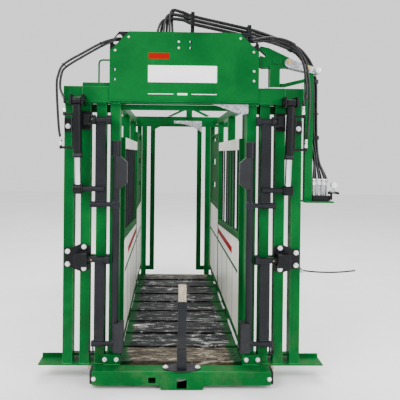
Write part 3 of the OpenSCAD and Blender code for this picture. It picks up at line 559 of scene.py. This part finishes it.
def flat_coat(name, main, worn, rough):
    """Coloured film or stencil paint with worn specks."""
    s = Shader(name, rough, shine=0.04)
    speck = s.noise(60.0, 8.0, 0.75)
    base = s.mix(s.span(s.noise(5.0), 0.4, 0.7, 0.0, 0.25), main, worn)
    s.colour(s.mix(s.span(speck, 0.66, 0.72), base, worn))
    s.roughness(speck, rough - 0.08, rough + 0.12)
    s.bump(speck, 0.06, 0.0005)
    return s.material


def worn_steel():
    """Bare steel that is rubbed bright and browned by weather."""
    s = Shader("bare_steel", 0.45, 0.35)
    streak = s.noise(20.0, 8.0, 0.7, stretch=(3.0, 3.0, 0.5))
    s.colour(s.ramp(streak, (0.3, (0.16, 0.12, 0.08)), (0.55, (0.42, 0.36, 0.27)),
                    (0.75, (0.66, 0.60, 0.48))))
    s.roughness(streak, 0.55, 0.32)
    s.bump(streak, 0.2, 0.001)
    return s.material


RUST = (0.10, 0.085, 0.07)
BROWN_RUST = (0.16, 0.12, 0.09)

# material name, deep, main and light colour, roughness, chip level, colour of chips, shine
PAINTS = {
    "green": ("green_paint", (0.0001, 0.050, 0.0080), (0.0002, 0.088, 0.0150), (0.0004, 0.128, 0.0230),
              0.40, 0.78, RUST, 0.08),
    "matt_green": ("matt_green", (0.0002, 0.042, 0.0065), (0.0004, 0.072, 0.0118), (0.0010, 0.104, 0.0185),
                   0.62, 0.78, RUST, 0.06),
    "green_edge": ("green_edge", (0.001, 0.10, 0.016), (0.003, 0.165, 0.032), (0.012, 0.25, 0.070),
                   0.32, 0.69, RUST, 0.18),
    "dark": ("dark_paint", (0.0035, 0.004, 0.0055), (0.0075, 0.0085, 0.0115), (0.013, 0.015, 0.019),
             0.38, 0.76, RUST, 0.18),
    "dark_edge": ("dark_edge", (0.016, 0.018, 0.022), (0.034, 0.038, 0.045), (0.065, 0.072, 0.082),
                  0.28, 0.67, BROWN_RUST, 0.18),
    "black": ("black_paint", (0.0018, 0.002, 0.0025), (0.0035, 0.004, 0.005), (0.0070, 0.008, 0.0095),
              0.36, 0.78, RUST, 0.18),
    "black_edge": ("black_edge", (0.010, 0.011, 0.013), (0.020, 0.022, 0.026), (0.044, 0.047, 0.053),
                   0.28, 0.68, RUST, 0.18),
}


def make_materials():
    """One material a finish, by the name that the rest of the script uses."""
    m = {key: paint(*look) for key, look in PAINTS.items()}
    m["zinc"] = zinc_coat("zinc", (0.40, 0.42, 0.43), (0.19, 0.205, 0.22), 0.42, 0.75)
    m["bolt"] = zinc_coat("bolt_zinc", (0.80, 0.81, 0.82), (0.58, 0.60, 0.62), 0.30, 0.55)
    m["yellow_zinc"] = zinc_coat("yellow_zinc", (0.62, 0.36, 0.05), (0.32, 0.17, 0.03), 0.34, 0.5)
    m["chrome"] = chrome()
    m["hose"] = rubber("hose_rubber", (0.0035, 0.0035, 0.004), (0.010, 0.010, 0.012), 0.34, 300.0, 0.0005)
    m["pad"] = rubber("pad_rubber", (0.0035, 0.004, 0.005), (0.011, 0.0125, 0.016), 0.48, 140.0, 0.0008)
    m["tread"] = tread_plate()
    m["board"] = board()
    m["red"] = flat_coat("red_film", (0.27, 0.0, 0.0003), (0.17, 0.002, 0.002), 0.6)
    m["white"] = flat_coat("white_film", (0.86, 0.87, 0.86), (0.55, 0.62, 0.56), 0.4)
    m["bare"] = worn_steel()
    return m


# ---------------------------------------------------------------- CAD nodes with their finish


def refined(node, main, edge, width):
    """Copy of a CAD node with rounded edges in a second, more worn finish. It stands for the node."""
    source = frame["nodes"][node]
    mesh = source.data.copy()
    mesh.materials.clear()
    work = bmesh.new()
    work.from_mesh(mesh)
    bmesh.ops.remove_doubles(work, verts=work.verts, dist=0.00002)
    bmesh.ops.dissolve_limit(work, angle_limit=math.radians(1.0), verts=work.verts, edges=work.edges,
                             delimit={"NORMAL"})
    work.to_mesh(mesh)
    work.free()
    mesh.polygons.foreach_set("material_index", [0] * len(mesh.polygons))
    mesh.polygons.foreach_set("use_smooth", [True] * len(mesh.polygons))
    obj = new_object(node + "_finished", mesh, source["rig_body"], main, edge)
    add_bevel(obj, width, edge_slot=1)
    apply_modifiers(obj)
    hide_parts(node)
    return obj


def darken_eye(obj, material):
    """Paints the eye at the bottom of a cylinder rod."""
    eye_top = 1.312
    eye_slot = len(obj.data.materials)
    obj.data.materials.append(material)
    for face in obj.data.polygons:
        if face.center.z < eye_top:
            face.material_index = eye_slot


# paint, edge radius in millimetres, nodes
PAINTED = (
    ("green", 5.0, ("base_rails", "base_cross_members", "front_base_beam", "hitch_receiver",
                    "front_posts_left", "front_posts_right", "header_beam", "rear_frame", "side_frames",
                    "head_gate_left", "head_gate_right", "tail_gate_left", "tail_gate_right")),
    ("green", 2.0, ("foot_plates", "sign_panel", "gate_tracks", "hose_guard_rod", "boom_frame")),
    ("matt_green", 2.0, ("squeeze_frame_left", "squeeze_frame_right")),
    ("dark", 4.0, ("upper_arm_left", "upper_arm_right", "lower_arm_left", "lower_arm_right",
                   "center_post")),
    ("dark", 2.0, ("neck_bar_left", "neck_bar_right", "squeeze_bars_left", "squeeze_bars_right")),
    ("black", 2.0, ("beam_end_caps", "hose_brackets", "bearing_brackets", "cylinder_brackets",
                    "neck_cylinder_left", "neck_cylinder_right", "valve_body", "release_lever")),
    ("black", 1.0, ("valve_lever_1", "valve_lever_2", "valve_lever_3")),
)

# finish, edge radius in millimetres, slot, nodes
UNPAINTED = (
    ("zinc", 1.5, "zinc_plate", ("galvanised_plates", "hinge_pins")),
    ("bolt", 1.5, "zinc_plate", ("frame_bolts",)),
    ("zinc", 2.0, "zinc_plate", ("hydraulic_manifold",)),
    ("zinc", 1.5, "zinc_plate", ("boom_link",)),
    ("zinc", 1.2, "zinc_plate", ("valve_fittings",)),
    ("zinc", 1.5, "zinc_plate", ("pressure_gauge",)),
    ("chrome", 1.5, "chrome_rod", ("cylinder_rod_left", "cylinder_rod_right")),
    ("tread", 2.5, "worn_tread", ("floor_treads",)),
    ("board", 2.0, "cream_board", ("squeeze_boards_left", "squeeze_boards_right")),
    ("bare", 2.0, "bare_steel", ("center_post_insert",)),
    ("pad", 6.0, "pad_rubber", ("neck_pads_left", "neck_pads_right")),
)


def finish_nodes(m):
    """Gives every CAD node but the hoses its finish."""
    for colour, width, nodes in PAINTED:
        family = colour.split("_")[-1]
        for node in nodes:
            obj = refined(node, m[colour], m[family + "_edge"], width * MM)
    for finish, width, slot, nodes in UNPAINTED:
        for node in nodes:
            obj = refined(node, m[finish], m[finish], width * MM)
            if finish == "chrome":
                darken_eye(obj, m["black"])


# ---------------------------------------------------------------- added detail

POST_X = (0.4525, 0.543, 0.645, 0.7565)
POST_HALF = 0.0325
PIVOT_Z = {"upper": 1.724, "lower": 0.815}
ARM_LENGTH = 0.550


def hex_bolt(centre, way, r, head):
    """Washer and chamfered hexagon head, standing on a face."""
    washer = lathe_part(centre, way, [(r * 1.45, -0.0005), (r * 1.45, 0.0018), (r * 1.38, 0.0024)])
    hexagon = lathe_part(centre, way, [(r, 0.002), (r, head * 0.8), (r * 0.86, head)], 6)
    return [washer, hexagon]


def crimp(centre, way, r, length):
    """Hose ferrule with two crimped grooves and a rolled end."""
    steps = ((0.90, 0.0), (1.0, 0.04), (1.0, 0.28), (0.90, 0.31), (0.90, 0.37), (1.0, 0.40), (1.0, 0.62),
             (0.90, 0.65), (0.90, 0.71), (1.0, 0.74), (1.0, 0.95), (0.88, 1.0))
    return lathe_part(centre, way, [(r * a, length * b) for a, b in steps], 20)


def bead(a, b, r=3.4 * MM):
    """Weld bead between two points, with its ripples."""
    a, b = Vector(a), Vector(b)
    step, ripple = 2.2 * MM, 0.95 * MM
    steps = max(6, int((b - a).length / step))
    line = [a.lerp(b, i / steps) for i in range(steps + 1)]
    return tube_part(line, lambda along: r * (1.0 + 0.20 * math.sin(along / ripple)), 8)


def band(centre, way, half_w, half_d, height, thick):
    """Rounded strap around a bundle, as a closed ring with a flat section."""
    way = Vector(way).normalized()
    u = Vector((1, 0, 0)) - way * way.x
    u.normalize()
    v = way.cross(u)
    corners = 40
    squareness = 0.45
    points = []
    faces = []
    for k in range(corners):
        turn = 2 * math.pi * k / corners
        c, w = math.cos(turn), math.sin(turn)
        x = math.copysign(abs(c) ** squareness, c)
        y = math.copysign(abs(w) ** squareness, w)
        for grow, lift in ((0, -1), (0, 1), (thick, 1), (thick, -1)):
            points.append(Vector(centre) + u * x * (half_w + grow) + v * y * (half_d + grow)
                          + way * lift * height / 2)
    for k in range(corners):
        m = (k + 1) % corners
        for j in range(4):
            n = (j + 1) % 4
            faces.append((k * 4 + j, k * 4 + n, m * 4 + n, m * 4 + j))
    return points, faces


def slab(low, high, soft=0.0008):
    """Thin plate with softened edges."""
    (x0, y0, z0), (x1, y1, z1) = low, high
    mesh = bmesh.new()
    bmesh.ops.create_cube(mesh, size=1.0)
    for v in mesh.verts:
        v.co = Vector((x0 + (v.co.x + 0.5) * (x1 - x0), y0 + (v.co.y + 0.5) * (y1 - y0),
                       z0 + (v.co.z + 0.5) * (z1 - z0)))
    bmesh.ops.bevel(mesh, geom=mesh.edges[:], offset=soft, segments=2, affect="EDGES", profile=0.6)
    mesh.verts.index_update()
    points = [v.co.copy() for v in mesh.verts]
    faces = [tuple(v.index for v in f.verts) for f in mesh.faces]
    mesh.free()
    return points, faces


def side_slab(sign, near, far, low, high, soft=0.0008):
    """Slab at one side of the chute, by its distances from the middle and its corners in Y and Z."""
    x0, x1 = sorted((sign * near, sign * far))
    return slab((x0, *low), (x1, *high), soft)


def add_welds(m):
    """Beads where the posts meet the header and the foot plates, and along the lugs, receiver and arms."""
    thin = 3.0 * MM
    face = FRONT_Y * MM - POST_HALF
    reach = 0.031
    foot_top, header_low = 0.1115, 1.8375
    parts = []
    for x in POST_X:
        for side in (-1, 1):
            for z in (foot_top, header_low):
                parts.append(bead((side * x - reach, face, z), (side * x + reach, face, z)))
            for edge in (side * x - POST_HALF, side * x + POST_HALF):
                parts.append(bead((edge, face + 0.004, foot_top), (edge, face + 0.060, foot_top)))
    for side in (-1, 1):
        parts.append(bead((side * 0.404, -1.2915, 0.1185), (side * 0.513, -1.2915, 0.1185)))
        parts.append(bead((side * 0.130, -1.3905, 0.0445), (side * 0.045, -1.3905, 0.0445)))
        parts.append(bead((side * 0.665, -1.2905, 1.8395), (side * 0.665, -1.2905, 1.94), thin))
    merged("weld_beads_frame", parts, "root", m["green_edge"], 80)
    inner, outer = 0.5115, 0.5745
    for name, sign in SIDES:
        for arm, top in PIVOT_Z.items():
            end = top - ARM_LENGTH
            parts = []
            for x in (inner, outer):
                for z in (top - 0.019, end + 0.018):
                    parts.append(bead((sign * x, -1.3065, z), (sign * x, -1.277, z), thin))
            for z in (top - 0.0205, end + 0.0205):
                parts.append(bead((sign * 0.513, -1.3078, z), (sign * 0.573, -1.3078, z), thin))
            welds = merged(f"weld_beads_{arm}_arm_{name}", parts, f"{arm}_arm_{name}", m["dark_edge"], 80)


def add_lozenges(m):
    """Raised bars on the treads, in alternate directions."""
    rng = random.Random(7)
    treads, gap, margin = 9, 16 * MM, 0.034
    front, length, top = -1.2515, 2.344, 0.1095
    rows, columns, left, spacing = 7, 24, -0.385, 0.0328
    long, wide, lean, height = 0.0135, 0.0036, 38, 0.0028
    shape = ((-long, 0), (-long * 0.5, -wide), (long * 0.5, -wide),
             (long, 0), (long * 0.5, wide), (-long * 0.5, wide))
    pitch = length / treads
    row_pitch = (pitch - gap - 0.040) / rows
    parts = []
    for t in range(treads):
        y_start = front + t * pitch + gap + margin
        for j in range(rows):
            y = y_start + (j + 0.5) * row_pitch
            for i in range(columns):
                x = left + (i + 0.5 * (j % 2)) * spacing
                turn = math.radians(lean if (i + j) % 2 else -lean) + rng.uniform(-0.04, 0.04)
                c, w = math.cos(turn), math.sin(turn)
                outline = [(x + c * a - w * b, y + w * a + c * b) for a, b in shape]
                worn = rng.uniform(-0.0004, 0.0004)
                parts.append(prism_part(outline, top, top + height + worn, 0.35))
    merged("tread_lozenges", parts, "root", m["tread"], 25)


def add_markings(m):
    """Blank nameplate bar and pinstripes on the sign, and a plain stripe on each side board."""
    face = -1.2980
    back = face + 0.0004
    left, right = -0.238, 0.213
    plate = [slab((left, face - 0.0012, 1.975), (right, back, 2.085))]
    for x0, x1 in ((left, -0.072), (0.047, right)):
        plate.append(slab((x0, face - 0.0008, 1.8965), (x1, back, 1.9005), 0.0003))
    plate.append(slab((-0.045, face - 0.0008, 1.8925), (0.020, back, 1.9045), 0.0003))
    merged("sign_markings", plate, "root", m["white"], 30)
    red_bar = slab((-0.236, face - 0.0010, 2.128), (-0.100, back, 2.166))
    merged("sign_red_bar", [red_bar], "root", m["red"], 30)
    board_low, joint_top, joint_w = 0.238, 0.658, 0.008
    for name, sign in SIDES:
        body = f"squeeze_{name}"
        stripe = side_slab(sign, 0.4012, 0.4024, (-0.74, 0.738), (0.225, 0.788), 0.0004)
        merged(f"side_stripe_{name}", [stripe], body, m["red"], 30)
        cover = side_slab(sign, 0.3990, 0.4005, (-1.0945, board_low), (-1.052, 0.898))
        merged(f"upright_cover_{name}", [cover], body, m["board"], 30)
        joints = [side_slab(sign, 0.4010, 0.4024, (y, board_low), (y + joint_w, joint_top), 0.0004)
                  for y in (-0.78, -0.44, -0.10, 0.62)]
        merged(f"board_joints_{name}", joints, body, m["dark"], 30)


def add_hose_fittings(m):
    """Ferrules at both ends of every hose, straps along the bundle and ties on the pairs."""
    sunk = 0.002 * UP
    nut = [(10 * MM, 0), (10.6 * MM, 0.002), (10.6 * MM, 0.018), (9 * MM, 0.021)]
    manifold_end, valve_end = [], []
    for k in range(6):
        line = metres(bundle_route(k))
        manifold_end.append(crimp(line[0] - sunk, UP, 11.0 * MM, 0.044))
        valve_end.append(crimp(line[-1] - sunk, UP, 10.6 * MM, 0.040))
    ports = {"left": [], "right": []}
    for side, route in ROUTES.items():
        for k in (0, 1):
            line = metres(route(k))
            manifold_end.append(crimp(line[0] - sunk, UP, 8.4 * MM, 0.036))
            end = line[-1]
            way = (line[-2] - end).normalized()
            ports[side].append(crimp(end + way * 0.006, way, 8.6 * MM, 0.034))
            ports[side].append(lathe_part(end - way * 0.014, way, nut, 6))
    merged("manifold_ferrules", manifold_end, "root", m["bolt"])
    merged("valve_ferrules", valve_end, "boom", m["bolt"])
    for side, parts in ports.items():
        merged(f"port_fittings_{side}", parts, f"cylinder_{side}", m["bolt"])
    straps = [band((0.886, -1.165, 2.011), (0, 0, 1), 0.0325, 0.0235, 0.026, 0.003),
              band((0.888, -1.187, 1.628), (0.01, -0.1, 1), 0.0325, 0.0235, 0.026, 0.003),
              band((0.738, -1.1625, 2.2465), (176, 24, -86), 0.031, 0.0215, 0.022, 0.003),
              band((0.889, -1.178, 1.79), (0.0, -0.05, 1), 0.031, 0.022, 0.010, 0.002)]
    merged("bundle_straps", straps, "boom", m["black"])
    ties = [band((-0.7715, -1.3435, 2.069), (-0.55, 0, -0.75), 0.019, 0.010, 0.007, 0.0018),
            band((-0.5390, -1.3325, 2.208), (-0.9, 0, -0.45), 0.016, 0.010, 0.006, 0.0018),
            band((0.6860, -1.3425, 2.226), (0.95, 0, -0.3), 0.016, 0.010, 0.006, 0.0018)]
    merged("pair_ties", ties, "root", m["black"])


def add_gauge(m):
    """Bezel, dial, ticks and needle of the pressure gauge."""
    low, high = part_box("pressure_gauge")
    x, z, inset = 1.004, 1.311, 0.0004
    centre = Vector((x, low[1], z))
    r = (high[0] - x) - inset
    rim = [(r, -0.006), (r, 0.001), (r * 0.96, 0.0025), (r * 0.84, 0.0022), (r * 0.80, 0.0)]
    merged("gauge_bezel", [lathe_part(centre, AHEAD, rim, 40)], "boom", m["bolt"])
    dial = lathe_part(centre, AHEAD, [(r * 0.79, -0.002), (r * 0.79, 0.0006), (r * 0.77, 0.0008)], 40)
    merged("gauge_dial", [dial], "boom", m["white"])
    ticks, first, step, reading = 11, -130, 26, -70
    marks = []
    for k in range(ticks):
        spoke = Matrix.Translation(centre) @ Matrix.Rotation(math.radians(first + step * k), 4, "Y")
        tick = slab((-0.0004, -0.0014, r * 0.60), (0.0004, -0.0006, r * 0.74), 0.0001)
        marks.append(turned(tick, spoke))
    pointed = Matrix.Translation(centre) @ Matrix.Rotation(math.radians(reading), 4, "Y")
    needle = slab((-0.0006, -0.0020, -r * 0.2), (0.0006, -0.0008, r * 0.62), 0.0002)
    marks.append(turned(needle, pointed))
    marks.append(lathe_part(centre, AHEAD, [(0.0022, 0.0004), (0.0022, 0.0022), (0.0012, 0.0028)], 16))
    merged("gauge_marks", marks, "boom", m["black"])


def add_boom_bolts(m):
    """Bolts and the far pin of the link plates, and the pivot rod's end behind them."""
    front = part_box("boom_link")[0][1]
    gold = hex_bolt((0.690, front, 2.121), AHEAD, 0.0095, 0.010)
    gold += hex_bolt((0.818, front, 2.085), AHEAD, 0.0095, 0.010)
    merged("boom_link_bolts", gold, "boom", m["yellow_zinc"])
    pins = hex_bolt((0.882, front, 2.070), AHEAD, 0.0125, 0.009)
    shank = [(0.0065, 0), (0.0075, 0.001), (0.0075, 0.064)]
    nut = [(0.0115, 0), (0.0122, 0.001), (0.0122, 0.008), (0.011, 0.009)]
    pins.append(lathe_part((0.506, -1.245, 2.118), (1, 0, 0), shank, 20))
    pins.append(lathe_part((0.514, -1.245, 2.118), (1, 0, 0), nut, 6))
    merged("boom_pins", pins, "boom", m["bolt"])


def add_base_bolts(m):
    """Bolt heads on the centre post's flange, and the pin ends beside the lugs."""
    low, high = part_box("center_post")
    flange_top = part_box("front_base_beam")[1][2] + 0.008
    heads = []
    for side in (-1, 1):
        heads += hex_bolt((side * 0.104, (low[1] + high[1]) / 2, flange_top), UP, 0.0122, 0.0102)
    merged("flange_bolts", heads, "root", m["bolt"])
    pin = [(0.0125, 0), (0.0160, 0.0035), (0.0160, 0.060), (0.014, 0.064)]
    ends = [lathe_part((side * 0.604, -1.262, 0.0838), (0, 1, 0), pin, 28) for side in (-1, 1)]
    merged("foot_pins", ends, "root", m["bare"])


def add_cylinder_details(m):
    """Oil pipe and end collar of each cylinder, and the grease nipples of the arms."""
    ring = [(0.0290, 0), (0.0312, 0.002), (0.0312, 0.018), (0.0290, 0.021)]
    nipple = [(0.0042, 0), (0.0042, 0.003), (0.0026, 0.005), (0.0032, 0.008), (0.0018, 0.010)]
    for name, sign in SIDES:
        pin_at = Vector((sign * 0.685, CYLINDER_PIN.y * MM, CYLINDER_PIN.z * MM))
        beside = Vector((sign * 0.0335, 0, 0)) + AHEAD * 0.006
        inward = Vector((sign * 0.010, 0, 0))
        line = [pin_at + beside + CYLINDER_WAY * d for d in (0.096, 0.12, 0.20, 0.27, 0.296)]
        line = [line[0] - inward] + line + [line[-1] - inward]
        pipe = tube_part(spline(line, 6), 0.0042, 12)
        collar = lathe_part(pin_at + CYLINDER_WAY * 0.334, CYLINDER_WAY, ring, 36)
        merged(f"cylinder_pipe_{name}", [pipe, collar], f"cylinder_{name}", m["black_edge"])
        for piece, arm in (("grease_nipples", "upper"), ("grease_nipples_low", "lower")):
            part = lathe_part((sign * 0.594, -1.3295, PIVOT_Z[arm]), (0, -1, 0.35), nipple, 12)
            obj = merged(f"{piece}_{name}", [part], f"{arm}_arm_{name}", m["yellow_zinc"])


# ---------------------------------------------------------------- stage


def make_stage():
    """Pale floor, even sky and three soft lights."""
    half = 14.0
    corners = [(-half, -half, 0), (half, -half, 0), (half, half, 0), (-half, half, 0)]
    s = Shader("floor_paint", 0.7)
    s.colour(s.ramp(s.noise(1.5, 4.0), (0.3, (0.86, 0.86, 0.86)), (0.7, (0.92, 0.92, 0.92))))
    new_object("studio_floor", mesh_from("floor", corners, [(0, 1, 2, 3)]), None, s.material)
    world = bpy.data.worlds.new("studio")
    SCENE.world = world
    world.use_nodes = True
    sky = world.node_tree.nodes["Background"]
    sky.inputs["Color"].default_value = (1.0, 1.0, 1.0, 1.0)
    sky.inputs["Strength"].default_value = 1.25
    for name, place, aim, power, width in (
            ("key", (-3.5, -5.0, 5.0), (0, -0.6, 1.0), 420.0, 3.0),
            ("fill", (4.0, -4.5, 3.0), (0, -0.6, 1.0), 240.0, 3.0),
            ("top", (0.5, 1.5, 6.0), (0, 0, 0.5), 360.0, 4.0)):
        data = bpy.data.lights.new(name, "AREA")
        data.energy = power
        data.size = width
        light = bpy.data.objects.new(name, data)
        SCENE.collection.objects.link(light)
        light.location = place
        light.rotation_mode = "QUATERNION"
        light.rotation_quaternion = (Vector(aim) - Vector(place)).to_track_quat("-Z", "Y")


# ---------------------------------------------------------------- build


def build():
    """The whole scene: camera, hoses, finished nodes, added detail and stage."""
    make_camera()
    materials = make_materials()
    make_hoses(materials["hose"])
    finish_nodes(materials)
    for add in (add_welds, add_lozenges, add_markings, add_hose_fittings, add_gauge, add_boom_bolts,
                add_base_bolts, add_cylinder_details):
        add(materials)
    make_stage()


build()
bpy.context.view_layer.update()
